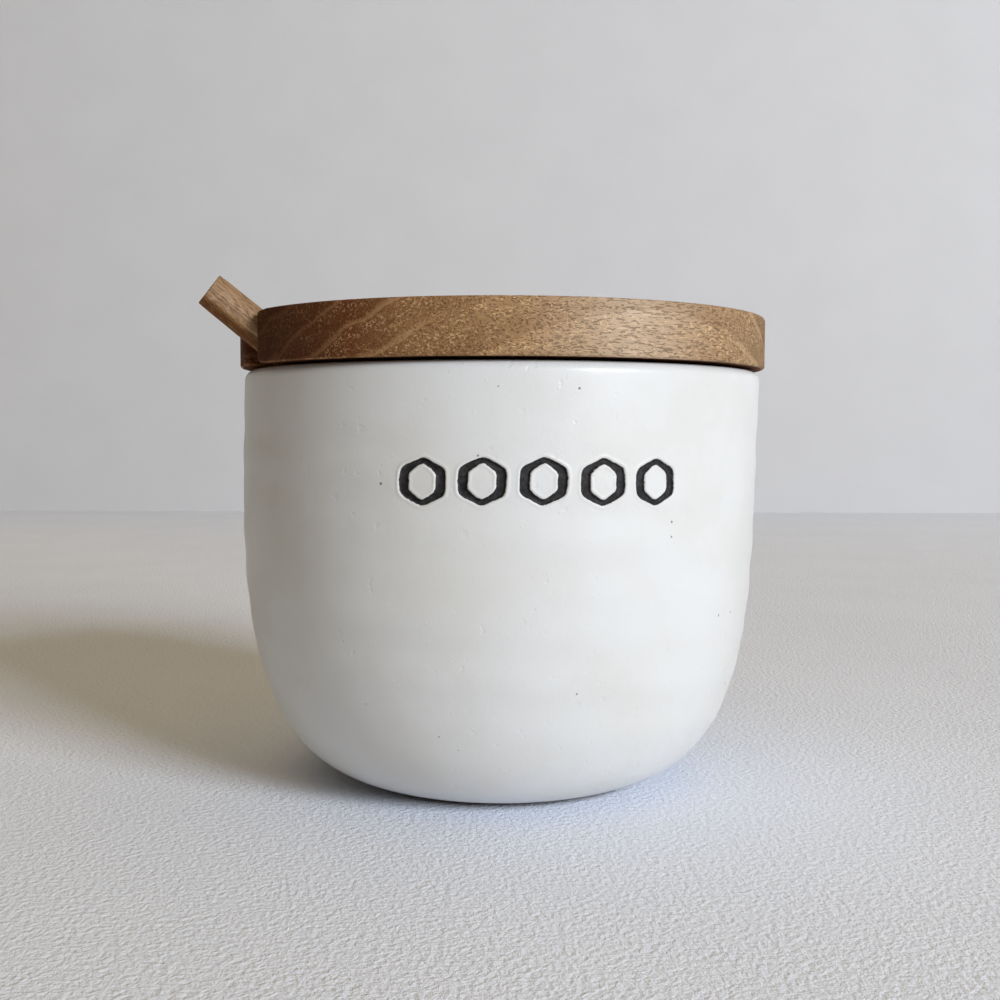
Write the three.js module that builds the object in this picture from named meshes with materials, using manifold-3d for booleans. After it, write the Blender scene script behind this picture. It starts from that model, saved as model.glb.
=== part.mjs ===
// A lidded stoneware honey pot with a wooden dipper, in millimetres, +Z up.
// The origin is on the pot's own axis, at the surface that it stands on.
// The pot is a thrown and glazed vessel, the lid a turned wooden disc with a notch cut in its edge,
// and the dipper's stick leans through the notch, over the rim and down inside the pot.

import * as THREE from 'three';
import { mergeVertices } from 'three/addons/utils/BufferGeometryUtils.js';
import Module from 'manifold-3d';

// Pot: the wall curves out of a flat foot and is all but upright from its widest height to the rim.
const POT_RADIUS = 52;
const POT_HEIGHT = 81.5;
const WIDEST_HEIGHT = 71.5;
const CURVE_START_RADIUS = 17.7;
const CURVE_FLATNESS_ACROSS = 2.884;
const CURVE_FLATNESS_UP = 3.485;
const FOOT_GROUND_OFF = 0.4;
const WALL = 5.4;
const LIP_OUTER_ROUND = 2;
const LIP_INNER_ROUND = 1.2;
const POT_SIDES = 72;
const CURVE_STEPS = 15;
const CURVE_LAST_SHARE = 0.985;
const CURVE_CROWDING = 1.15;
const LIP_STEPS = 4;

// Lid: a plain disc that lies on the rim, not quite central, with a thin gap under it.
const LID_RADIUS = 52.9;
const LID_THICKNESS = 9.8;
const LID_EDGE_ROUND = 1.3;
const LID_GAP = 0.5;
const LID_OFFSET_X = 0.45;
const LID_SIDES = 96;
const EDGE_STEPS = 4;

// Notch in the lid's edge: as wide as the stick with some room, and round at its inner end.
const NOTCH_WIDTH = 7.8;
const NOTCH_END_RADIUS = 35;
const NOTCH_END_STEPS = 10;

// Dipper: a round stick, slimmest at its outer end, in the upright plane of the notch.
const DIPPER_TURN = THREE.MathUtils.degToRad(206.5);
const DIPPER_RISE = THREE.MathUtils.degToRad(37.1);
const DIPPER_LENGTH = 125.8;
const DIPPER_END_DIAMETER = 6.15;
const DIPPER_DIAMETER = 7;
const DIPPER_TAPER_LENGTH = 20;
const DIPPER_OUT = 59.9;
const DIPPER_UP = 95.62;
const DIPPER_END_ROUND = 0.5;
const DIPPER_END_STEPS = 3;
const DIPPER_SIDES = 28;

// Corners closer than this are one corner.
const SAME_CORNER = 1e-4;

const wasm = await Module();
wasm.setup();

// Points of a quarter turn about (x, y), from one angle to another, the first left out.
function quarterTurn(x, y, radius, from, to, steps) {
  const points = [];
  for (let i = 1; i <= steps; i += 1) {
    const angle = from + ((to - from) * i) / steps;
    points.push(new THREE.Vector2(x + radius * Math.cos(angle), y + radius * Math.sin(angle)));
  }
  return points;
}

// A geometry with shared corners and without the slivers that a lathe leaves on its axis.
function closedGeometry(geometry) {
  geometry.deleteAttribute('normal');
  geometry.deleteAttribute('uv');
  const merged = mergeVertices(geometry, SAME_CORNER);
  const kept = [];
  for (let i = 0; i < merged.index.count; i += 3) {
    const corners = [0, 1, 2].map((k) => merged.index.getX(i + k));
    if (new Set(corners).size === 3) {
      kept.push(...corners);
    }
  }
  merged.setIndex(kept);
  return merged;
}

// A profile of radius and height, turned about the Z axis into a closed body.
function turned(profile, sides) {
  const geometry = new THREE.LatheGeometry(profile, sides);
  geometry.rotateX(Math.PI / 2);
  return closedGeometry(geometry);
}

// The first body less the second.
function cut(geometry, tool) {
  const [body, knife] = [geometry, tool].map((piece) => new wasm.Manifold(new wasm.Mesh({
    numProp: 3,
    vertProperties: new Float32Array(piece.attributes.position.array),
    triVerts: new Uint32Array(piece.index.array),
  })));
  const mesh = body.subtract(knife).getMesh();
  const result = new THREE.BufferGeometry();
  result.setAttribute('position', new THREE.BufferAttribute(mesh.vertProperties, 3));
  result.setIndex(new THREE.BufferAttribute(mesh.triVerts, 1));
  return result;
}

// The pot's curved wall is a quarter of a superellipse, set in from the outside along its normal.
function wallPoint(share, inset) {
  const angle = (share * Math.PI) / 2;
  const across = POT_RADIUS - CURVE_START_RADIUS;
  const up = WIDEST_HEIGHT + FOOT_GROUND_OFF;
  const at = (a) => new THREE.Vector2(
    CURVE_START_RADIUS + across * Math.sin(a) ** (2 / CURVE_FLATNESS_ACROSS),
    up * (1 - Math.max(Math.cos(a), 0) ** (2 / CURVE_FLATNESS_UP)) - FOOT_GROUND_OFF,
  );
  const along = at(angle + SAME_CORNER).sub(at(angle - SAME_CORNER)).normalize();
  return at(angle).add(new THREE.Vector2(-along.y, along.x).multiplyScalar(inset));
}

// Shares of the curve, closest together low down, where it bends most.
function wallCurve(first, inset) {
  const points = [];
  for (let i = 0; i <= CURVE_STEPS; i += 1) {
    const share = first + (CURVE_LAST_SHARE - first) * (i / CURVE_STEPS) ** CURVE_CROWDING;
    points.push(wallPoint(share, inset));
  }
  return points;
}

// The share of the curve at which the outside wall leaves the ground foot, found by halving.
function footShare() {
  let [low, high] = [0.01, 0.5];
  while (high - low > SAME_CORNER * SAME_CORNER) {
    const middle = (low + high) / 2;
    if (wallPoint(middle, 0).y < 0) {
      low = middle;
    } else {
      high = middle;
    }
  }
  return high;
}

function potProfile() {
  const foot = footShare();
  const outside = wallCurve(foot, 0);
  outside[0].y = 0;
  const inside = wallCurve(foot, WALL).reverse();
  const floorHeight = inside.at(-1).y;
  const lipRadius = POT_RADIUS - WALL;
  return [
    new THREE.Vector2(0, 0),
    ...outside,
    new THREE.Vector2(POT_RADIUS, WIDEST_HEIGHT),
    new THREE.Vector2(POT_RADIUS, POT_HEIGHT - LIP_OUTER_ROUND),
    ...quarterTurn(POT_RADIUS - LIP_OUTER_ROUND, POT_HEIGHT - LIP_OUTER_ROUND, LIP_OUTER_ROUND,
      0, Math.PI / 2, LIP_STEPS),
    new THREE.Vector2(lipRadius + LIP_INNER_ROUND, POT_HEIGHT),
    ...quarterTurn(lipRadius + LIP_INNER_ROUND, POT_HEIGHT - LIP_INNER_ROUND, LIP_INNER_ROUND,
      Math.PI / 2, Math.PI, LIP_STEPS),
    new THREE.Vector2(lipRadius, WIDEST_HEIGHT),
    ...inside,
    new THREE.Vector2(0, floorHeight),
  ];
}

function lidProfile() {
  const inner = LID_RADIUS - LID_EDGE_ROUND;
  return [
    new THREE.Vector2(0, 0),
    new THREE.Vector2(inner, 0),
    ...quarterTurn(inner, LID_EDGE_ROUND, LID_EDGE_ROUND, -Math.PI / 2, 0, EDGE_STEPS),
    new THREE.Vector2(LID_RADIUS, LID_THICKNESS - LID_EDGE_ROUND),
    ...quarterTurn(inner, LID_THICKNESS - LID_EDGE_ROUND, LID_EDGE_ROUND, 0, Math.PI / 2, EDGE_STEPS),
    new THREE.Vector2(0, LID_THICKNESS),
  ];
}

// The notch runs out from its round end past the lid's edge, and past both of its faces.
function notchTool() {
  const half = NOTCH_WIDTH / 2;
  const endCentre = NOTCH_END_RADIUS + half;
  const beyond = LID_RADIUS + NOTCH_WIDTH;
  const outline = new THREE.Shape([
    new THREE.Vector2(beyond, -half),
    new THREE.Vector2(beyond, half),
    new THREE.Vector2(endCentre, half),
    ...quarterTurn(endCentre, 0, half, Math.PI / 2, (3 * Math.PI) / 2, NOTCH_END_STEPS),
  ]);
  const tool = new THREE.ExtrudeGeometry(outline, { depth: 3 * LID_THICKNESS, bevelEnabled: false });
  tool.translate(0, 0, -LID_THICKNESS);
  tool.rotateZ(DIPPER_TURN);
  tool.translate(-LID_OFFSET_X, 0, 0);
  return closedGeometry(tool);
}

// The stick stands on its inner end here, and tapers over its outer stretch.
function dipperProfile() {
  const radius = DIPPER_DIAMETER / 2;
  const endRadius = DIPPER_END_DIAMETER / 2;
  const round = DIPPER_END_ROUND;
  return [
    new THREE.Vector2(0, 0),
    new THREE.Vector2(radius - round, 0),
    ...quarterTurn(radius - round, round, round, -Math.PI / 2, 0, DIPPER_END_STEPS),
    new THREE.Vector2(radius, DIPPER_LENGTH / 2),
    new THREE.Vector2(radius, DIPPER_LENGTH - DIPPER_TAPER_LENGTH),
    new THREE.Vector2(endRadius, DIPPER_LENGTH - round),
    ...quarterTurn(endRadius - round, DIPPER_LENGTH - round, round, 0, Math.PI / 2, DIPPER_END_STEPS),
    new THREE.Vector2(0, DIPPER_LENGTH),
  ];
}

const glaze = new THREE.MeshStandardMaterial({ color: 0xd9d6cf, roughness: 0.42, metalness: 0 });
const lidWood = new THREE.MeshStandardMaterial({ color: 0x7a5334, roughness: 0.6, metalness: 0 });
const dipperWood = new THREE.MeshStandardMaterial({ color: 0x9c7850, roughness: 0.6, metalness: 0 });

const pot = new THREE.Mesh(turned(potProfile(), POT_SIDES), glaze);
pot.name = 'pot';

const lid = new THREE.Mesh(cut(turned(lidProfile(), LID_SIDES), notchTool()), lidWood);
lid.name = 'lid';
lid.position.set(LID_OFFSET_X, 0, POT_HEIGHT + LID_GAP);

const dipper = new THREE.Mesh(turned(dipperProfile(), DIPPER_SIDES), dipperWood);
dipper.name = 'dipper';
dipper.rotation.y = Math.PI / 2 - DIPPER_RISE;
dipper.position.set(
  DIPPER_OUT - DIPPER_LENGTH * Math.cos(DIPPER_RISE),
  0,
  DIPPER_UP - DIPPER_LENGTH * Math.sin(DIPPER_RISE),
);
const dipperPlane = new THREE.Group();
dipperPlane.rotation.z = DIPPER_TURN;
dipperPlane.add(dipper);

const honeyPot = new THREE.Group();
honeyPot.add(pot, lid, dipperPlane);

export default honeyPot;
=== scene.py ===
import math

import bpy
import numpy as np
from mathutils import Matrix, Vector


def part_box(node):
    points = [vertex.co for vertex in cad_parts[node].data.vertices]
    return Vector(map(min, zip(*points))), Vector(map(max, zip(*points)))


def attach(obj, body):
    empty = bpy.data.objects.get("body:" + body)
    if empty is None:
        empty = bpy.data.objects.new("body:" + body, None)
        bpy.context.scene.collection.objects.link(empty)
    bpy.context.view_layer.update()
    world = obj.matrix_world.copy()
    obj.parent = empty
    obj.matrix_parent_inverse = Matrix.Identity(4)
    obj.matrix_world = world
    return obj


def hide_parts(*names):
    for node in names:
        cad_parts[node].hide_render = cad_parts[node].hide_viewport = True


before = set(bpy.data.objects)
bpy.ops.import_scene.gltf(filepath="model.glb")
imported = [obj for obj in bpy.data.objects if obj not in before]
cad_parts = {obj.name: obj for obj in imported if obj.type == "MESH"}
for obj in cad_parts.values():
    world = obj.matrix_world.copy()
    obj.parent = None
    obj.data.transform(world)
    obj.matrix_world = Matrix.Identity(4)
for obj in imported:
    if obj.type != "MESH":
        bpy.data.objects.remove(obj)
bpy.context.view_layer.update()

# Pot
# A thrown stoneware pot with a soft, slightly uneven wall, a rounded lip and a flat ground foot.
# It is dipped in a satin white glaze with fine iron specks, and the foot is wiped bare, its clay painted
# dark as contact shade.
# A row of comb cells is stamped into the wall before firing and rubbed with a charcoal stain.

MM = 0.001
pot_low, pot_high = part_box("pot")
POT_RADIUS = (pot_high.x - pot_low.x) / 2
POT_HEIGHT = pot_high.z
WIDEST_HEIGHT = 71.5 * MM
CURVE_START_RADIUS = 17.7 * MM
CURVE_FLATNESS_ACROSS = 2.884
CURVE_FLATNESS_UP = 3.485
CURVE_POINTS = 4000
CURVE_FIRST_SHARE = 0.98
CURVE_CROWDING = 2.5
FOOT_GROUND_OFF = 0.4 * MM
POT_WALL = 5.4 * MM
LIP_OUTER_ROUND = 2.0 * MM
LIP_INNER_ROUND = 1.2 * MM
LIP_OUTER_DEGREES = (12, 90)
LIP_INNER_DEGREES = (90, 165)

OVAL_WAVE = 0.10 * MM
TWIST_WAVE = 0.06 * MM
TWIST_RADIANS = 61
RING_WAVE = 0.05 * MM
RING_RADIANS = 43
WAVES_START = (2 * MM, 14 * MM)
WAVES_STOP = (68 * MM, 79 * MM)
AXIS_BOW = 3.0 * MM
AXIS_SHIFT = 0.3 * MM
AXIS_BOW_START = (0, 6 * MM)

CELL_COUNT = 5
CELL_SEED = 11
CELL_FIRST_TURN = math.radians(-14.3)
CELL_LAST_TURN = math.radians(31.0)
CELL_CENTRE_HEIGHT = 61.2 * MM
CELL_APOTHEM = 3.2 * MM
CELL_CORNER_SHARPNESS = 11
CELL_STROKE = 1.36 * MM
CELL_STROKE_SWELL = 0.38 * MM
CELL_WAVER = 0.05 * MM
CELL_DEPTH = 0.55 * MM
CELL_SLOPE = (-0.26 * MM, 0.08 * MM)
CELL_LIP = 0.07 * MM
CELL_LIP_OUT = 0.3 * MM
CELL_LIP_WIDTH = 0.22 * MM
CELL_TILT = math.radians(2.2)
CELL_DRIFT = 0.22 * MM

BAND_HALF = 5.6 * MM
BAND_LOW = CELL_CENTRE_HEIGHT - BAND_HALF
BAND_HIGH = CELL_CENTRE_HEIGHT + BAND_HALF
BAND_MARGIN = math.radians(6)
BAND_FIRST_TURN = CELL_FIRST_TURN - BAND_MARGIN
BAND_LAST_TURN = CELL_LAST_TURN + BAND_MARGIN
BAND_STEP = 0.17 * MM
WALL_STEP = 1.6 * MM
INSIDE_STEP = 3.2 * MM
ROUND_STEP = math.radians(2.25)
FOOT_RINGS = 6
FLOOR_RINGS = 7
LIP_OUTER_RINGS = 8
LIP_INNER_RINGS = 6

CREAM_GLAZE = (0.725, 0.708, 0.665, 1)
WHITE_GLAZE = (0.76, 0.753, 0.73, 1)
IRON_SPECK = (0.12, 0.09, 0.065, 1)
DENSE_STAIN = (0.019, 0.018, 0.018, 1)
THIN_STAIN = (0.058, 0.053, 0.053, 1)
# The bare foot's clay, darker than buff, partly its own colour and partly a painted contact shadow.
DARK_CLAY_AND_PAINTED_SHADE = (0.17, 0.125, 0.088, 1)
PALE_CLAY_AND_PAINTED_SHADE = (0.26, 0.205, 0.15, 1)
GLAZE_RELIEF = 0.03 * MM


def arc(across, height, radius, first, last, steps):
    """Points of an arc: its centre plus the radius times the cosine and sine of each angle."""
    turn = np.radians(np.linspace(first, last, steps))
    return np.column_stack([across + radius * np.cos(turn), height + radius * np.sin(turn)])


def evenly(line, step):
    """Points at even steps of length along a line of points, its two ends kept."""
    run = np.concatenate([[0], np.cumsum(np.hypot(*np.diff(line, axis=0).T))])
    places = np.linspace(0, run[-1], math.ceil(run[-1] / step) + 1)
    return np.column_stack([np.interp(places, run, line[:, 0]), np.interp(places, run, line[:, 1])])


def wall_curve(inset):
    """The wall from foot to widest height, as radius and height, set in along its normal.

    It is a quarter of a superellipse. With s from nothing to a quarter turn, the radius grows by sin(s)
    to the power 2/n and the height is the whole height times one less cos(s) to the power 2/m.
    """
    s = (1 - np.linspace(CURVE_FIRST_SHARE, 0, CURVE_POINTS) ** CURVE_CROWDING) * math.pi / 2
    growth = POT_RADIUS - CURVE_START_RADIUS
    radius = CURVE_START_RADIUS + growth * np.sin(s) ** (2 / CURVE_FLATNESS_ACROSS)
    whole = WIDEST_HEIGHT + FOOT_GROUND_OFF
    height = whole * (1 - np.cos(s).clip(0) ** (2 / CURVE_FLATNESS_UP)) - FOOT_GROUND_OFF
    along = np.column_stack([np.gradient(radius), np.gradient(height)])
    along /= np.linalg.norm(along, axis=1, keepdims=True)
    line = np.column_stack([radius - inset * along[:, 1], height + inset * along[:, 0]])
    return line[height >= 0]


def pot_section():
    """The pot's section from the middle of the foot, up the outside, over the lip and down inside."""
    upright = [[POT_RADIUS, WIDEST_HEIGHT], [POT_RADIUS, POT_HEIGHT - LIP_OUTER_ROUND]]
    outside = np.vstack([wall_curve(0), upright])
    inside = wall_curve(POT_WALL)
    lip = POT_RADIUS - POT_WALL
    under = outside[:, 1] < BAND_LOW
    over = outside[:, 1] > BAND_HIGH
    foot = np.column_stack([np.linspace(0, outside[0, 0], FOOT_RINGS + 1)[:-1], np.zeros(FOOT_RINGS)])
    floor_radius = np.linspace(inside[0, 0], 0, FLOOR_RINGS + 1)[1:]
    floor = np.column_stack([floor_radius, np.full(FLOOR_RINGS, inside[0, 1])])
    down = np.vstack([[[lip, POT_HEIGHT - LIP_INNER_ROUND]], inside[::-1]])
    return np.vstack([
        foot,
        evenly(outside[under], WALL_STEP),
        evenly(outside[~under & ~over], BAND_STEP),
        evenly(outside[over], WALL_STEP),
        arc(POT_RADIUS - LIP_OUTER_ROUND, POT_HEIGHT - LIP_OUTER_ROUND, LIP_OUTER_ROUND,
            *LIP_OUTER_DEGREES, LIP_OUTER_RINGS),
        arc(lip + LIP_INNER_ROUND, POT_HEIGHT - LIP_INNER_ROUND, LIP_INNER_ROUND,
            *LIP_INNER_DEGREES, LIP_INNER_RINGS),
        evenly(down, INSIDE_STEP),
        floor,
    ])


def round_the_pot():
    """Turns about the axis, from behind by way of the left, closest together across the stamped row."""
    stamped = np.arange(BAND_FIRST_TURN, BAND_LAST_TURN, BAND_STEP / POT_RADIUS)
    before = np.linspace(-math.pi, BAND_FIRST_TURN, math.ceil((math.pi + BAND_FIRST_TURN) / ROUND_STEP) + 1)
    after = np.linspace(BAND_LAST_TURN, math.pi, math.ceil((math.pi - BAND_LAST_TURN) / ROUND_STEP) + 1)
    return np.concatenate([before[:-1], stamped, after[:-1]])


def cell_edge(turn, height):
    """Distance from the nearest stamped stroke's edge, less than nothing inside the stroke.

    A cell is a hexagon with soft corners: the sum of high powers of the distances along its three flat
    directions, rooted again, less the apothem. Its stroke is that line, thick at the sides and wavering
    by two small sines of the turn round the cell. Each cell is tilted and set off by a random draw.
    """
    draw = np.random.default_rng(CELL_SEED)
    nearest = np.full(np.broadcast(turn, height).shape, 1.0)
    for middle in np.linspace(CELL_FIRST_TURN, CELL_LAST_TURN, CELL_COUNT):
        tilt = draw.uniform(-CELL_TILT, CELL_TILT)
        drift = draw.uniform(-CELL_DRIFT, CELL_DRIFT, 2)
        x = POT_RADIUS * (turn - middle) - drift[0]
        y = height - CELL_CENTRE_HEIGHT - drift[1]
        x, y = x * math.cos(tilt) + y * math.sin(tilt), y * math.cos(tilt) - x * math.sin(tilt)
        flats = [np.abs(x * math.cos(a) + y * math.sin(a)) for a in np.radians([0, 60, 120])]
        size = sum((flat / CELL_APOTHEM) ** CELL_CORNER_SHARPNESS for flat in flats)
        line = (size ** (1 / CELL_CORNER_SHARPNESS) - 1) * CELL_APOTHEM
        round_it = np.arctan2(y, x)
        waver = np.sin(7 * round_it + 9 * middle) + 0.6 * np.sin(17 * round_it + 31 * middle)
        stroke = CELL_STROKE + CELL_STROKE_SWELL * np.cos(2 * round_it) + CELL_WAVER * waver
        nearest = np.minimum(nearest, np.abs(line) - stroke / 2)
    return nearest


def eased(value, first, last):
    """A smooth step from 0 to 1 as the value goes from first to last."""
    share = np.clip((value - first) / (last - first), 0, 1)
    return share * share * (3 - 2 * share)


def pot_grid():
    """The pot's skin over two parameters, the place along its section and the turn about its axis.

    The radius is the section's, less the stamped strokes, plus the low waves that throwing leaves: an oval,
    a twist and rings. The axis wanders sideways with the square of the height from the middle, so the wall
    is a little one-sided. Inside the pot there are no waves, and every stroke is out of reach.
    """
    section = pot_section()
    turn = round_the_pot()[None, :]
    radius = section[:, :1]
    height = section[:, 1:]
    level = height / POT_HEIGHT
    top_row = int(np.argmax(section[:, 1]))
    outside = (np.arange(len(section)) <= top_row)[:, None]
    body = outside * eased(height, *WAVES_START) * (1 - eased(height, *WAVES_STOP))
    waves = OVAL_WAVE * np.sin(2 * turn + 0.7) + TWIST_WAVE * np.sin(3 * turn + TWIST_RADIANS * level)
    waves = waves + RING_WAVE * np.sin(RING_RADIANS * level + 0.8 * np.sin(turn))
    edge = cell_edge(turn, height) + (1 - outside)
    sunk = CELL_DEPTH * (1 - eased(edge, *CELL_SLOPE))
    proud = CELL_LIP * np.exp(-((edge - CELL_LIP_OUT) / CELL_LIP_WIDTH) ** 2)
    round_radius = radius + body * waves + outside * (proud - sunk)
    wander = (AXIS_BOW * (level - 0.5) ** 2 - AXIS_SHIFT) * eased(height, *AXIS_BOW_START)
    across = round_radius * np.sin(turn) + wander
    back = -round_radius * np.cos(turn)
    up = np.broadcast_to(height, across.shape)
    return np.stack([across, back, up], axis=-1), edge


def placed(name, points, faces):
    """A smooth shaded mesh object at the origin, made of points and faces."""
    mesh = bpy.data.meshes.new(name)
    mesh.from_pydata(points, [], faces)
    mesh.shade_smooth()
    piece = bpy.data.objects.new(name, mesh)
    bpy.context.scene.collection.objects.link(piece)
    return piece


def ring_faces(rings, columns):
    """Four-sided faces between rings of points, each ring joined to the next and closed on itself."""
    low = np.arange((rings - 1) * columns).reshape(rings - 1, columns)
    beside = np.roll(low, -1, axis=1)
    return np.stack([low, beside, beside + columns, low + columns], axis=-1).reshape(-1, 4)


def in_order(grid):
    """A grid's inner rings one after another, then the single points of its first and last rings."""
    return np.concatenate([grid[1:-1].reshape(-1, *grid.shape[2:]), grid[0, :1], grid[-1, :1]])


def closed_round(name, grid):
    """A closed body over rings of points, whose first and last rings have shrunk to single points."""
    rings, columns = grid.shape[:2]
    first = (rings - 2) * columns
    last = first + 1
    start = np.arange(columns)
    end = start + (rings - 3) * columns
    caps = [np.stack([np.full(columns, first), np.roll(start, -1), start], axis=-1),
            np.stack([np.full(columns, last), end, np.roll(end, -1)], axis=-1)]
    faces = ring_faces(rings - 2, columns).tolist() + caps[0].tolist() + caps[1].tolist()
    return placed(name, in_order(grid).tolist(), faces)


def noted(piece, name, values):
    """Keeps a number for each of a piece's points, as an attribute that its material reads."""
    piece.data.attributes.new(name, "FLOAT", "POINT").data.foreach_set("value", values.ravel())


def add(tree, kind, inputs, output=0, **settings):
    """Adds a shader node and returns one of its outputs. An input is a constant or another output."""
    made = tree.nodes.new("ShaderNode" + kind)
    for key, value in settings.items():
        setattr(made, key, value)
    for key, value in inputs.items() if isinstance(inputs, dict) else enumerate(inputs):
        if isinstance(value, bpy.types.NodeSocket):
            tree.links.new(value, made.inputs[key])
        else:
            made.inputs[key].default_value = value
    return made.outputs[output]


def maths(tree, operation, *values):
    """The result of a Math node."""
    return add(tree, "Math", values, operation=operation)


def between(tree, value, first, last, low=0.0, high=1.0):
    """A smooth step of a value, from low at first to high at last."""
    return add(tree, "MapRange", [value, first, last, low, high], interpolation_type="SMOOTHSTEP")


def blended(tree, share, first, second, way="MIX"):
    """Two colours blended by a share."""
    return add(tree, "Mix", {0: share, 6: first, 7: second}, output=2, data_type="RGBA", blend_type=way)


def noise(tree, place, scale, detail=2.0, roughness=0.5, curl=0.0):
    """A noise pattern at a place in millimetres, with scale in waves for each millimetre."""
    inputs = {"Vector": place, "Scale": scale, "Detail": detail, "Roughness": roughness, "Distortion": curl}
    return add(tree, "TexNoise", inputs)


def in_millimetres(tree):
    """The piece's own coordinates, in millimetres."""
    own = add(tree, "TexCoord", {}, output="Object")
    return add(tree, "VectorMath", {0: own, "Scale": 1 / MM}, operation="SCALE")


def finish_of(name):
    """A new material with its node tree and its shader."""
    material = bpy.data.materials.new(name)
    material.use_nodes = True
    return material, material.node_tree, material.node_tree.nodes["Principled BSDF"]


def dots(tree, place, scale, rarest, largest):
    """Scattered round dots as a share of 0 to 1: round each random point, out to a size drawn for it."""
    cells = {"Vector": place, "Scale": scale, "Randomness": 1.0}
    reach = add(tree, "TexVoronoi", cells, output="Distance")
    lot = add(tree, "SeparateColor", [add(tree, "TexVoronoi", cells, output="Color")], output="Red")
    size = between(tree, lot, rarest, 1.0, 0.0, largest)
    return between(tree, maths(tree, "SUBTRACT", size, reach), -0.2 * largest, 0.35 * largest)


def glaze_material():
    """Satin white glaze: cloudy in tone, dotted with iron specks, stained in the strokes, bare at the foot.

    The stain fills each stroke up to its edge, moved in and out a little by noise. The bare foot's clay is
    darker than buff, partly a painted contact shadow. The gloss wanders with a slow ripple, and the relief
    is that ripple with pimples, fine grain and a few shallow dents.
    """
    material, tree, shader = finish_of("speckled_white_glaze")
    place = in_millimetres(tree)
    cloud = noise(tree, place, scale=0.05, detail=5.0, roughness=0.6)
    ripple = noise(tree, place, scale=0.16, detail=3.0)
    grain = noise(tree, place, scale=1.7)
    white = blended(tree, between(tree, cloud, 0.32, 0.68), CREAM_GLAZE, WHITE_GLAZE)
    specks = dots(tree, place, scale=0.3, rarest=0.75, largest=0.085)
    white = blended(tree, maths(tree, "MULTIPLY", specks, 0.85), white, IRON_SPECK)

    edge = add(tree, "Attribute", {}, output="Fac", attribute_name="cell_edge")
    rough_edge = maths(tree, "MULTIPLY_ADD", noise(tree, place, scale=2.2, detail=3.0), 0.22, -0.11)
    stain = between(tree, maths(tree, "ADD", edge, rough_edge), 0.05, -0.06)
    worn = between(tree, noise(tree, place, scale=1.1, detail=4.0, roughness=0.65), 0.35, 0.75)
    dressed = blended(tree, stain, white, blended(tree, worn, DENSE_STAIN, THIN_STAIN))

    height = add(tree, "SeparateXYZ", [place], output="Z")
    bare = between(tree, maths(tree, "MULTIPLY_ADD", cloud, 0.5, height), 1.0, 0.85)
    # Painted contact shadow: the bare foot's clay is darker than buff.
    bare_clay_and_painted_shade = blended(tree, noise(tree, place, scale=0.9, detail=4.0), DARK_CLAY_AND_PAINTED_SHADE, PALE_CLAY_AND_PAINTED_SHADE)
    tree.links.new(blended(tree, bare, dressed, bare_clay_and_painted_shade), shader.inputs["Base Color"])

    satin = maths(tree, "MULTIPLY_ADD", ripple, 0.12, 0.29)
    matt = maths(tree, "MAXIMUM", maths(tree, "MULTIPLY", stain, 0.62), maths(tree, "MULTIPLY", bare, 0.85))
    tree.links.new(maths(tree, "MAXIMUM", satin, matt), shader.inputs["Roughness"])
    tree.links.new(maths(tree, "MULTIPLY_ADD", stain, -0.25, 0.4), shader.inputs["Specular IOR Level"])
    pimples = dots(tree, place, scale=0.5, rarest=0.35, largest=0.12)
    dents = between(tree, noise(tree, place, scale=0.42), 0.66, 0.74)
    relief = maths(tree, "MULTIPLY_ADD", ripple, 3.0, maths(tree, "MULTIPLY_ADD", pimples, 1.5, grain))
    relief = maths(tree, "MULTIPLY_ADD", dents, -1.6, relief)
    bump = {"Strength": 0.7, "Distance": GLAZE_RELIEF, "Height": relief}
    tree.links.new(add(tree, "Bump", bump), shader.inputs["Normal"])
    return material


pot_points, pot_edge = pot_grid()
pot = closed_round("pot_glazed", pot_points)
noted(pot, "cell_edge", in_order(pot_edge / MM).clip(-5, 5))
pot.data.materials.append(glaze_material())
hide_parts("pot")
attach(pot, "root")

# Lid
# A turned hardwood disc with barely eased edges, oiled, lying loose on the pot's rim.
# A round-ended notch is cut in from its edge for the dipper, and its mouth's corners are sanded rounder.
# Its notch walls and under face are painted dark as shade, and its lower ease a little paler as a painted
# highlight.

lid_low, lid_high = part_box("lid")
LID_RADIUS = (lid_high.y - lid_low.y) / 2
LID_MIDDLE_X = (lid_low.x + lid_high.x) / 2
LID_EDGE_ROUND = 0.5 * MM
LID_HOLD = 0.15 * MM
LID_EDGE_RINGS = 7
LID_SIDE_RINGS = 4
DISC_POINTS = 300
NOTCH_TURN = math.radians(206.5)
NOTCH_WIDTH = 7.8 * MM
NOTCH_END_RADIUS = 35 * MM
NOTCH_CORNER_ROUND = 1.25 * MM
NOTCH_SIDE_POINTS = 9
NOTCH_END_POINTS = 19
MOUTH_EDGE_ROUND = 1.05 * MM
MOUTH_REACH = 3.2 * MM
MOUTH_POINTS = 9

LID_FIBRE = (0.88, 0.475, 0.0)
LID_HEART_ACROSS = 20.5 * MM
LID_HEART_ABOVE = 73.5 * MM
LID_RING_GAP = 5.8
LID_PALE = (0.65, 0.485, 0.335, 1)
LID_DEEP = (0.39, 0.256, 0.148, 1)
# Painted shade on the notch's walls and the under face; a painted highlight paling the lower ease's rings.
NOTCH_AND_UNDER_PAINTED_SHADE = -0.96
LOWER_EASE_PAINTED_HIGHLIGHT = 0.84
PAINTED_HIGHLIGHT_RINGS = 4

# The oil's tint where an edge cuts the fibre squarely at its one end, not at all, or at its other end. The
# palest, greyest tint, where the edge runs along the fibre, is partly the wood's own and partly a painted
# sheen.
WOOD_SOAK_AND_PAINTED_SHEEN = [(-1.0, (0.153, 0.066, 0.032)), (-0.84, (0.33, 0.158, 0.074)), (-0.70, (0.56, 0.383, 0.222)),
             (-0.42, (0.69, 0.545, 0.375)), (-0.08, (1.0, 0.995, 0.985)), (0.26, (0.70, 0.59, 0.455)),
             (0.60, (0.545, 0.445, 0.30)), (1.0, (0.153, 0.066, 0.032))]

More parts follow.
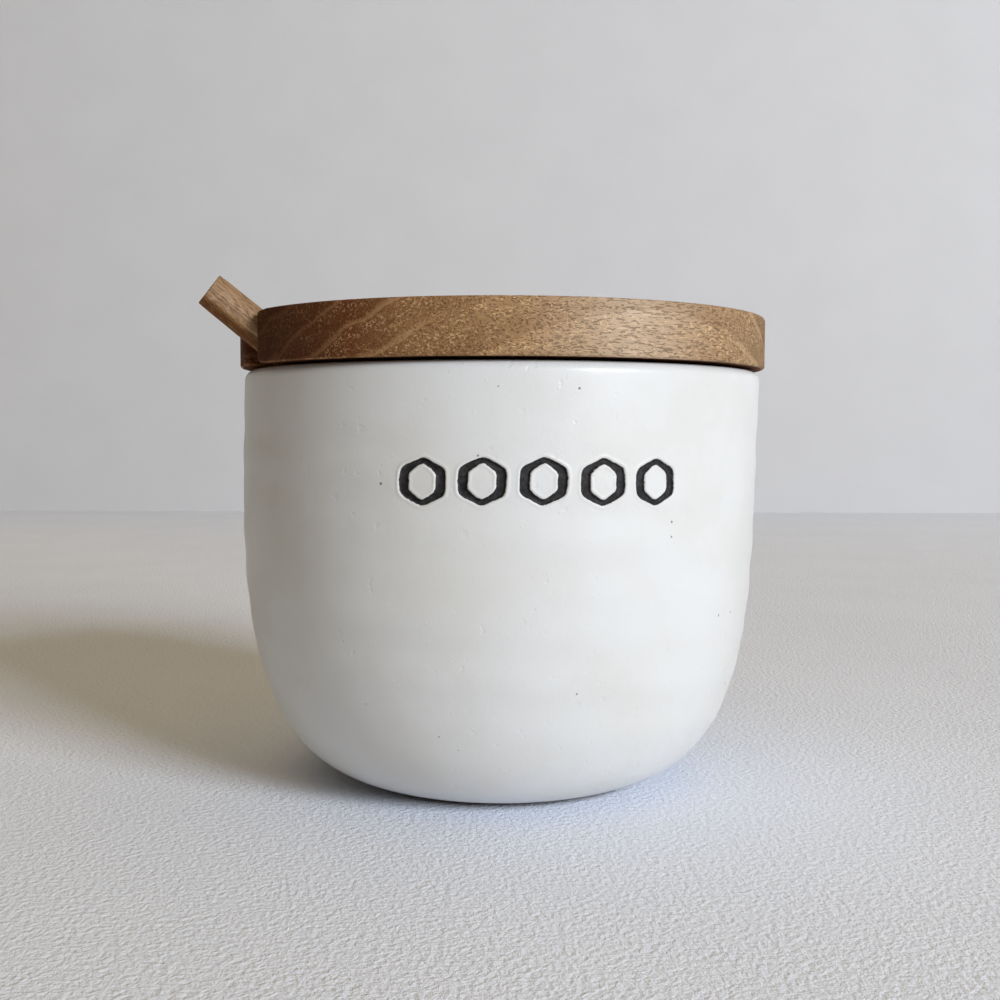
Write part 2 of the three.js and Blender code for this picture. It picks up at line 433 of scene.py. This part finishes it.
# The length and width, in millimetres, of each kind of mark in the grain.
SWAY_SIZE = (80, 15)
DRIFT_SIZE = (60, 9)
PATCH_SIZE = (22, 4)
STREAK_SIZE = (16, 0.8)
FIBRE_SIZE = (3.6, 0.16)
PORE_SIZE = (1.9, 0.28)
FLECK_SIZE = (1.3, 0.40)
RING_SWAY = 6.0
LINE_BARED_AT = -0.15
PALE_LINE = (0.95, 0.80, 0.62, 1)
PALE_FLECK = (0.95, 0.78, 0.58, 1)
PORE_BROWN = (0.13, 0.075, 0.04, 1)
DRY_WOOD = (0.9, 0.7, 0.48, 1)
GRAIN_RELIEF = 0.13 * MM
WIPED_LEVEL = (0.9, 0.99)
WIPED_DULLNESS = 0.22


def notched_outline():
    """The lid's outline, its outward normals and how round its edge is, in plan, with the notch along +X.

    The disc's arc, a small round at the notch's mouth, the notch's side and the half circle at its end
    follow each other, and the other side and mouth mirror the first. The edge's round grows near the mouth.
    """
    half = NOTCH_WIDTH / 2
    middle = np.array([math.cos(NOTCH_TURN), -math.sin(NOTCH_TURN)]) * LID_MIDDLE_X
    mouths = []
    for side in (1, -1):
        corner_y = side * (half + NOTCH_CORNER_ROUND)
        reach = LID_RADIUS - NOTCH_CORNER_ROUND
        corner = np.array([middle[0] + math.sqrt(reach ** 2 - (corner_y - middle[1]) ** 2), corner_y])
        lean = math.degrees(math.atan2(corner[1] - middle[1], corner[0] - middle[0]))
        mouths.append((corner, lean))
    (upper, upper_lean), (lower, lower_lean) = mouths
    end = np.array([NOTCH_END_RADIUS + half, 0])
    disc = arc(*middle, LID_RADIUS, upper_lean, lower_lean + 360, DISC_POINTS)
    low_mouth = arc(*lower, NOTCH_CORNER_ROUND, lower_lean, 90, MOUTH_POINTS)[1:]
    low_side = np.linspace(low_mouth[-1], [end[0], -half], NOTCH_SIDE_POINTS)[1:-1]
    round_end = arc(*end, half, 270, 90, NOTCH_END_POINTS)
    high_side = np.linspace([end[0], half], [upper[0], half], NOTCH_SIDE_POINTS)[1:-1]
    high_mouth = arc(*upper, NOTCH_CORNER_ROUND, -90, upper_lean, MOUTH_POINTS)[:-1]
    line = np.vstack([disc, low_mouth, low_side, round_end, high_side, high_mouth])
    normal = np.vstack([disc - middle, low_mouth - lower, np.tile([0, 1], (len(low_side), 1)),
                        end - round_end, np.tile([0, -1], (len(high_side), 1)), high_mouth - upper])
    from_mouth = np.minimum(np.hypot(*(line - upper).T), np.hypot(*(line - lower).T))
    near_mouth = eased(from_mouth, MOUTH_REACH, NOTCH_CORNER_ROUND)
    ease = LID_EDGE_ROUND + (MOUTH_EDGE_ROUND - LID_EDGE_ROUND) * near_mouth
    return line, normal / np.linalg.norm(normal, axis=1, keepdims=True), ease


def lid_mesh():
    """The lid: its edge profile carried along the notched outline, with a flat face above and below.

    Each point is the outline's, moved in along its normal by the profile's inset, at the profile's height.
    The edge also gets how squarely it cuts the fibre, less than nothing at one end, and a little less on
    its lower ease, a painted highlight. The notch and the under face get a fixed dark value, a painted
    shade.
    """
    line, normal, ease = notched_outline()
    top, base = lid_high.z, lid_low.z
    curl = arc(1, 0, 1, 90, 180, LID_EDGE_RINGS)
    upper = np.vstack([np.full(len(line), top), top - ease * (1 - curl[:, 1:])])
    lower = top + base - upper[::-1]
    side = np.linspace(upper[-1], lower[0], LID_SIDE_RINGS + 2)[1:-1]
    turned_in = np.vstack([ease + LID_HOLD, ease * curl[:, :1]])
    inset = np.vstack([turned_in, np.zeros_like(side), turned_in[::-1]])
    plan = line[None] - normal[None] * inset[..., None]
    ahead = [math.cos(NOTCH_TURN), math.sin(NOTCH_TURN)]
    turn = np.array([ahead, [-ahead[1], ahead[0]]])
    heights = np.vstack([upper, side, lower])
    points = np.concatenate([plan @ turn, heights[..., None]], axis=-1)

    # The notch's walls get a painted shade in place of how they cut the fibre.
    end_grain_and_painted_light = np.where(np.arange(len(line)) < DISC_POINTS, normal @ turn @ LID_FIBRE[:2], NOTCH_AND_UNDER_PAINTED_SHADE)
    # Painted highlight: the lower ease's rings get less end grain, so they soak paler, like an edge
    # catching light.
    plain_rings = 2 * LID_EDGE_RINGS + LID_SIDE_RINGS - PAINTED_HIGHLIGHT_RINGS
    on_edge = np.concatenate([[0], np.ones(plain_rings), np.full(PAINTED_HIGHLIGHT_RINGS, LOWER_EASE_PAINTED_HIGHLIGHT)])
    # The under face gets the notch's painted shade.
    soak_and_painted_light = np.vstack([on_edge[:, None] * end_grain_and_painted_light, np.full(len(line), NOTCH_AND_UNDER_PAINTED_SHADE)])

    rings, columns = points.shape[:2]
    first = np.arange(columns)
    last = first[::-1] + (rings - 1) * columns
    faces = ring_faces(rings, columns)[:, ::-1].tolist() + [first.tolist(), last.tolist()]
    piece = placed("lid_wooden", points.reshape(-1, 3).tolist(), faces)
    noted(piece, "end_grain_and_painted_light", soak_and_painted_light)
    return piece


def ramped(tree, share, stops):
    """A colour that changes with a share, through stops of a place and a colour."""
    made = tree.nodes.new("ShaderNodeValToRGB")
    tree.links.new(share, made.inputs[0])
    while len(made.color_ramp.elements) < len(stops):
        made.color_ramp.elements.new(1.0)
    for element, (place, colour) in zip(made.color_ramp.elements, stops):
        element.position = place
        element.color = (*colour, 1)
    return made.outputs[0]


def wood_material(name, fibre, heart, ring_gap, line_share, fleck_share, pale, deep):
    """Open-grained wood in the solid: growth rings about a heart line, long fibres, pores, dark end grain,
    and the painted shade and highlight that the attribute carries.

    A place is taken apart into its distance along the fibre and two distances across it from the heart. The
    ring is the distance from the heart over the ring gap. It darkens as it grows and ends in a pale line,
    which shows where the fibre is cut across. Pores and flecks are noise stretched along the fibre. A flat
    top is wiped often, which leaves it duller than the rest.
    """
    material, tree, shader = finish_of(name)
    along = np.array(fibre) / np.linalg.norm(fibre)
    across = np.cross((0, 0, 1), along)
    across /= np.linalg.norm(across)
    upward = np.cross(along, across)
    place = in_millimetres(tree)
    place = add(tree, "VectorMath", [place, tuple(np.array(heart) / MM)], operation="SUBTRACT")
    parts = [add(tree, "VectorMath", [place, tuple(axis)], output="Value", operation="DOT_PRODUCT")
             for axis in (along, across, upward)]

    def marks(size, detail, roughness=0.5, curl=0.0):
        """Noise at the place with the marks' own length and width as its units."""
        length, width = size
        shares = [maths(tree, "DIVIDE", part, unit) for part, unit in zip(parts, (length, width, width))]
        return noise(tree, add(tree, "CombineXYZ", shares), 1.0, detail, roughness, curl)

    sway = marks(SWAY_SIZE, 3.0)
    from_heart = add(tree, "CombineXYZ", [0.0, *parts[1:]])
    spoke = add(tree, "VectorMath", [from_heart], output="Value", operation="LENGTH")
    ring = maths(tree, "DIVIDE", maths(tree, "MULTIPLY_ADD", sway, RING_SWAY, spoke), ring_gap)
    year = maths(tree, "FRACT", ring)
    late = between(tree, year, 0.15, 0.9)
    line = maths(tree, "MULTIPLY", between(tree, year, 0.72, 0.90), between(tree, year, 1.0, 0.93))
    end_grain_and_painted_light = add(tree, "Attribute", {}, output="Fac", attribute_name="end_grain_and_painted_light")
    cut_across = maths(tree, "ABSOLUTE", end_grain_and_painted_light)
    bared = maths(tree, "ABSOLUTE", maths(tree, "SUBTRACT", end_grain_and_painted_light, LINE_BARED_AT))
    line = maths(tree, "MULTIPLY", line, between(tree, bared, 0.42, 0.62, 0.08 * line_share, line_share))
    luck = add(tree, "TexWhiteNoise", {"W": maths(tree, "FLOOR", ring)}, noise_dimensions="1D")

    drift = marks(DRIFT_SIZE, 2.0)
    streak_and_painted_shade = marks(STREAK_SIZE, 4.0, 0.6)
    fibres = marks(FIBRE_SIZE, 3.0, 0.6)
    pores = between(tree, marks(PORE_SIZE, 1.0, curl=0.8), 0.56, 0.66)
    flecks = between(tree, marks(FLECK_SIZE, 1.0, curl=0.8), 0.52, 0.62)
    patches = between(tree, marks(PATCH_SIZE, 2.0), 0.36, 0.52, 0.2, 1.0)
    patches = maths(tree, "MULTIPLY", patches, between(tree, year, 0.1, 0.75, 1.0, 0.5))
    flecks = maths(tree, "MULTIPLY", flecks, patches)

    tone = maths(tree, "MULTIPLY_ADD", late, 0.32, maths(tree, "MULTIPLY", line, -0.6))
    shades = [(luck, 0.18, 0.14), (drift, 0.8, -0.4), (streak_and_painted_shade, 0.8, -0.4), (fibres, 0.5, -0.25)]
    for mark, share, rest in shades:
        tone = maths(tree, "ADD", tone, maths(tree, "MULTIPLY_ADD", mark, share, rest))
    pale_flecks = maths(tree, "MULTIPLY", flecks, fleck_share)
    colour = blended(tree, add(tree, "Clamp", [tone, 0.0, 1.0]), pale, deep)
    colour = blended(tree, maths(tree, "MULTIPLY", line, 0.35), colour, PALE_LINE)
    colour = blended(tree, pale_flecks, colour, PALE_FLECK)
    colour = blended(tree, maths(tree, "MULTIPLY", pores, 0.45), colour, PORE_BROWN)

    # The soak tint follows the attribute, so it also lays on the painted shade and painted highlight set on
    # the meshes.
    tint_with_painted_light = ramped(tree, maths(tree, "MULTIPLY_ADD", end_grain_and_painted_light, 0.5, 0.5),
                    [((cut + 1) / 2, tint) for cut, tint in WOOD_SOAK_AND_PAINTED_SHEEN])
    dry = maths(tree, "MAXIMUM", pale_flecks, maths(tree, "MULTIPLY", line, 0.24))
    dry = maths(tree, "MULTIPLY", dry, between(tree, cut_across, 1.0, 0.8, 0.15, 1.0))
    tint_with_painted_light = blended(tree, dry, tint_with_painted_light, DRY_WOOD)
    tree.links.new(blended(tree, 1.0, colour, tint_with_painted_light, "MULTIPLY"), shader.inputs["Base Color"])

    silky = maths(tree, "MULTIPLY_ADD", pores, 0.2, maths(tree, "MULTIPLY_ADD", fibres, 0.2, 0.34))
    rough = maths(tree, "MULTIPLY_ADD", cut_across, 0.25, silky)
    shine = maths(tree, "MULTIPLY_ADD", cut_across, -0.2, 0.3)
    level = add(tree, "SeparateXYZ", [add(tree, "NewGeometry", {}, output="Normal")], output="Z")
    wiped = between(tree, level, *WIPED_LEVEL)
    rough = maths(tree, "MULTIPLY_ADD", wiped, WIPED_DULLNESS, rough)
    shine = maths(tree, "MULTIPLY_ADD", wiped, -WIPED_DULLNESS, shine)
    tree.links.new(rough, shader.inputs["Roughness"])
    tree.links.new(shine, shader.inputs["Specular IOR Level"])
    relief = maths(tree, "MULTIPLY_ADD", pores, -1.0, maths(tree, "MULTIPLY_ADD", flecks, 0.6, fibres))
    bump = {"Strength": 1.0, "Distance": GRAIN_RELIEF, "Height": relief}
    tree.links.new(add(tree, "Bump", bump), shader.inputs["Normal"])
    return material


lid = lid_mesh()
lid_heart = LID_HEART_ACROSS * np.cross((0, 0, 1), LID_FIBRE)
lid_heart[2] = (lid_low.z + lid_high.z) / 2 + LID_HEART_ABOVE
lid.data.materials.append(wood_material(
    "oiled_lid_wood", LID_FIBRE, lid_heart, LID_RING_GAP, line_share=1.0, fleck_share=0.65,
    pale=LID_PALE, deep=LID_DEEP))
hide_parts("lid")
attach(lid, "root")

# Dipper
# A turned stick of plain paler wood, slimmest at its outer end, which is sawn a little out of square.
# It stands loose in the pot, leaning on the rim in the lid's notch.

DIPPER_RISE = math.radians(37.1)
DIPPER_LENGTH = 125.8 * MM
DIPPER_END_DIAMETER = 6.45 * MM
DIPPER_DIAMETER = 7 * MM
DIPPER_TAPER_LENGTH = 20 * MM
DIPPER_OUT = 59.9 * MM
DIPPER_UP = 95.62 * MM
DIPPER_END_ROUND = 0.25 * MM
DIPPER_END_SLANT = 0.115
DIPPER_RIPPLE = 0.03 * MM
DIPPER_RIPPLE_LENGTH = 6 * MM
DIPPER_SIDES = 64
DIPPER_ROWS = 60
DIPPER_END_RINGS = 6
DIPPER_END_SOAK = -1.0
# Painted shade along the stick's under side, and the sides of the turn that it spans.
DIPPER_UNDERSIDE_PAINTED_SHADE = -0.72
DIPPER_PAINTED_SHADE_SIDES = (0.45, 0.8)
DIPPER_HEART_OFF = np.array([4, -11, 6]) * MM
DIPPER_RING_GAP = 2.2
DIPPER_PALE = (0.47, 0.29, 0.152, 1)
DIPPER_DEEP = (0.20, 0.103, 0.042, 1)


def dipper_grid():
    """The stick's skin over its length and the turn about it, with its soak and painted shade, its line and
    its outer tip.

    The radius is even up to the taper, then falls to the outer end, and a small round closes both ends.
    Each ring stands across the stick's own line, which leans in the notch's upright plane. The outer end is
    moved along that line with the distance to one side, which slants it. The flat ends are soaked dark, and
    a dark band of painted shade runs along the under side.
    """
    ease, radius, end = DIPPER_END_ROUND, DIPPER_DIAMETER / 2, DIPPER_END_DIAMETER / 2
    long_rows = np.linspace(ease, DIPPER_LENGTH - ease, DIPPER_ROWS)[1:-1]
    taper = np.clip((long_rows - DIPPER_LENGTH + DIPPER_TAPER_LENGTH) / DIPPER_TAPER_LENGTH, 0, 1)
    ripple = DIPPER_RIPPLE * np.sin(long_rows / DIPPER_RIPPLE_LENGTH)
    profile = np.vstack([
        [[0, 0], [radius / 2, 0]],
        arc(radius - ease, ease, ease, -90, 0, DIPPER_END_RINGS),
        np.column_stack([radius + (end - radius) * taper + ripple, long_rows]),
        arc(end - ease, DIPPER_LENGTH - ease, ease, 0, 90, DIPPER_END_RINGS),
        [[end / 2, DIPPER_LENGTH], [0, DIPPER_LENGTH]],
    ])
    turn = np.linspace(0, 2 * math.pi, DIPPER_SIDES, endpoint=False)
    upright = np.array([0, 0, 1])
    outward = np.array([math.cos(NOTCH_TURN), math.sin(NOTCH_TURN), 0])
    side = np.cross(upright, outward)
    line = math.cos(DIPPER_RISE) * outward + math.sin(DIPPER_RISE) * upright
    over = np.cross(line, side)
    tip = DIPPER_OUT * outward + DIPPER_UP * upright
    ring = np.cos(turn)[:, None] * side + np.sin(turn)[:, None] * over
    at_end = profile[:, 1:] > long_rows[-1] + MM
    along = profile[:, 1:] - DIPPER_LENGTH + at_end * DIPPER_END_SLANT * profile[:, :1] * np.cos(turn)
    flat_end = (profile[:, 1] <= 0) | (profile[:, 1] >= DIPPER_LENGTH)
    # Painted shade: a dark band along the under side, where the stick is in shade.
    streak_and_painted_shade = DIPPER_UNDERSIDE_PAINTED_SHADE * eased(-np.sin(turn), *DIPPER_PAINTED_SHADE_SIDES)
    soak_and_painted_light = np.where(flat_end[:, None], DIPPER_END_SOAK, streak_and_painted_shade)
    return tip + along[..., None] * line + profile[:, :1, None] * ring[None], soak_and_painted_light, line, tip


dipper_points, dipper_soak_and_painted_shade, dipper_line, dipper_tip = dipper_grid()
dipper = closed_round("dipper_stick", dipper_points)
dipper.data.materials.append(wood_material(
    "plain_dipper_wood", dipper_line, dipper_tip + DIPPER_HEART_OFF, DIPPER_RING_GAP, line_share=0.0,
    fleck_share=0.3, pale=DIPPER_PALE, deep=DIPPER_DEEP))
noted(dipper, "end_grain_and_painted_light", in_order(dipper_soak_and_painted_shade))
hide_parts("dipper")
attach(dipper, "root")

# Stage
# A plain pale floor with a finely pebbled skin, and a plain pale wall some way behind.
# Both only stand round the object and are no part of it.

STAGE_REACH = 3.0
WALL_BACK = 0.80
WALL_UP = 0.6
FLOOR_COLOUR = (0.865, 0.905, 0.995)
FLOOR_PEBBLE = 0.9
WALL_COLOUR = (0.735, 0.72, 0.71)
WALL_PEBBLE = 0.1
PEBBLE_DEPTH = 0.6 * MM
STAGE_ROUGHNESS = 0.75


def stage_sheet(name, first, last):
    """A flat sheet right across the stage, between two long edges given by their depth and height."""
    corners = [(-STAGE_REACH, *first), (STAGE_REACH, *first), (STAGE_REACH, *last), (-STAGE_REACH, *last)]
    return placed(name, corners, [(0, 1, 2, 3)])


def stage_material(name, colour, pebble):
    """A matt pale surface, faintly cloudy, with a fine pebbled relief of noise."""
    material, tree, shader = finish_of(name)
    place = in_millimetres(tree)
    cloud = between(tree, noise(tree, place, scale=0.02, detail=3.0), 0.3, 0.7, 0.985, 1.01)
    tint = add(tree, "VectorMath", {0: colour, "Scale": cloud}, operation="SCALE")
    tree.links.new(tint, shader.inputs["Base Color"])
    shader.inputs["Roughness"].default_value = STAGE_ROUGHNESS
    pebbles = noise(tree, place, scale=0.9, detail=3.0, roughness=0.6)
    bump = {"Strength": pebble, "Distance": PEBBLE_DEPTH, "Height": pebbles}
    tree.links.new(add(tree, "Bump", bump), shader.inputs["Normal"])
    return material


floor = stage_sheet("floor", (-STAGE_REACH, 0), (WALL_BACK, 0))
floor.data.materials.append(stage_material("pebbled_floor", FLOOR_COLOUR, FLOOR_PEBBLE))
wall = stage_sheet("wall", (WALL_BACK, 0), (WALL_BACK, WALL_UP))
wall.data.materials.append(stage_material("plain_wall", WALL_COLOUR, WALL_PEBBLE))

# Light
# A broad low window of cool daylight stands at the front right of a dim room.
# The room glows warm overhead and faintly near the horizon, as a ramp over the height of each direction.

WINDOW_TURN = math.radians(45)
WINDOW_RISE = math.radians(22)
WINDOW_DISTANCE = 2.4
WINDOW_SIZE = 0.8
WINDOW_WATTS = 55.0
WINDOW_COLOUR = (0.865, 0.925, 1.015)
ROOM = [(0.14, (0.21, 0.175, 0.125)), (0.30, (0.02, 0.016, 0.012)), (0.70, (0.02, 0.016, 0.012)),
        (0.92, (0.74, 0.57, 0.315))]

window_lamp = bpy.data.lights.new("window", "AREA")
window_lamp.shape = "SQUARE"
window_lamp.size = WINDOW_SIZE
window_lamp.energy = WINDOW_WATTS
window_lamp.color = WINDOW_COLOUR
window = bpy.data.objects.new("window", window_lamp)
window_way = np.array([math.sin(WINDOW_TURN) * math.cos(WINDOW_RISE),
                       -math.cos(WINDOW_TURN) * math.cos(WINDOW_RISE),
                       math.sin(WINDOW_RISE)])
window.location = window_way * WINDOW_DISTANCE + np.array([0, 0, POT_HEIGHT / 2])
window.rotation_euler = (math.pi / 2 - WINDOW_RISE, 0, WINDOW_TURN)
window.visible_camera = False
bpy.context.scene.collection.objects.link(window)

room = bpy.data.worlds.new("room")
room.use_nodes = True
room_way = add(room.node_tree, "TexCoord", {}, output="Generated")
room_rise = add(room.node_tree, "SeparateXYZ", [room_way], output="Z")
room_shade = ramped(room.node_tree, room_rise, ROOM)
room.node_tree.links.new(room_shade, room.node_tree.nodes["Background"].inputs["Color"])
bpy.context.scene.world = room
bpy.context.scene.view_settings.view_transform = "Standard"

# Camera
# It stands a hand's length in front of the pot, a little under the lid's height.
# It looks slightly down, as the photograph does, and leans a trace to one side.

CAMERA_BACK = 251.75 * MM
CAMERA_UP = 69.6 * MM
CAMERA_PITCH = math.radians(3.23)
CAMERA_ROLL = math.radians(-0.16)
CAMERA_FOCAL = 43.68
CAMERA_SENSOR = 36
CAMERA_NEAR = 10 * MM

camera_lens = bpy.data.cameras.new("camera")
camera_lens.sensor_width = CAMERA_SENSOR
camera_lens.lens = CAMERA_FOCAL
camera_lens.clip_start = CAMERA_NEAR
camera = bpy.data.objects.new("camera", camera_lens)
camera.location = (0, -CAMERA_BACK, CAMERA_UP)
camera.rotation_mode = "XYZ"
camera.rotation_euler = (math.pi / 2 - CAMERA_PITCH, CAMERA_ROLL, 0)
bpy.context.scene.collection.objects.link(camera)
bpy.context.scene.camera = camera
